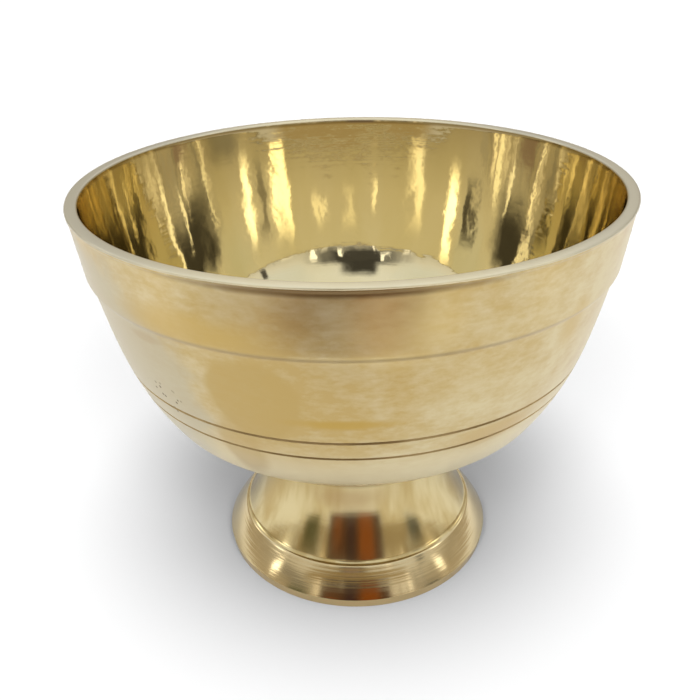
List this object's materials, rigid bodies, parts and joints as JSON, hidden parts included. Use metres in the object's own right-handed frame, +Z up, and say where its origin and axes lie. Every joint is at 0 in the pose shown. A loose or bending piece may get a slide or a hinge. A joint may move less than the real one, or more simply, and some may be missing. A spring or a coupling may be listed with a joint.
{
  "type": "offering bowl",
  "caption": "Footed brass offering bowl: round cup with a flat lip, plain band, small step and scored rings, brazed onto a hollow, waisted foot that flares to a flat base ring.",
  "frame": {"origin": "middle of the flat base ring, on the table", "axes": "+Z up along the turning axis, X and Y across the mouth; the bowl looks the same from every side"},
  "size_m": [0.12, 0.12, 0.0936],
  "materials": {
    "bowl_brass": "satin and lightly tarnished outside, mirror polished inside",
    "foot_brass": "polished, with fine lathe lines on the sloping band",
    "braze_brass": "duller brazing brass, brushed smooth"
  },
  "bodies": {
    "root": {"bowl": "bowl_brass", "foot": "foot_brass", "braze_ring": "braze_brass"}
  },
  "joints": []
}
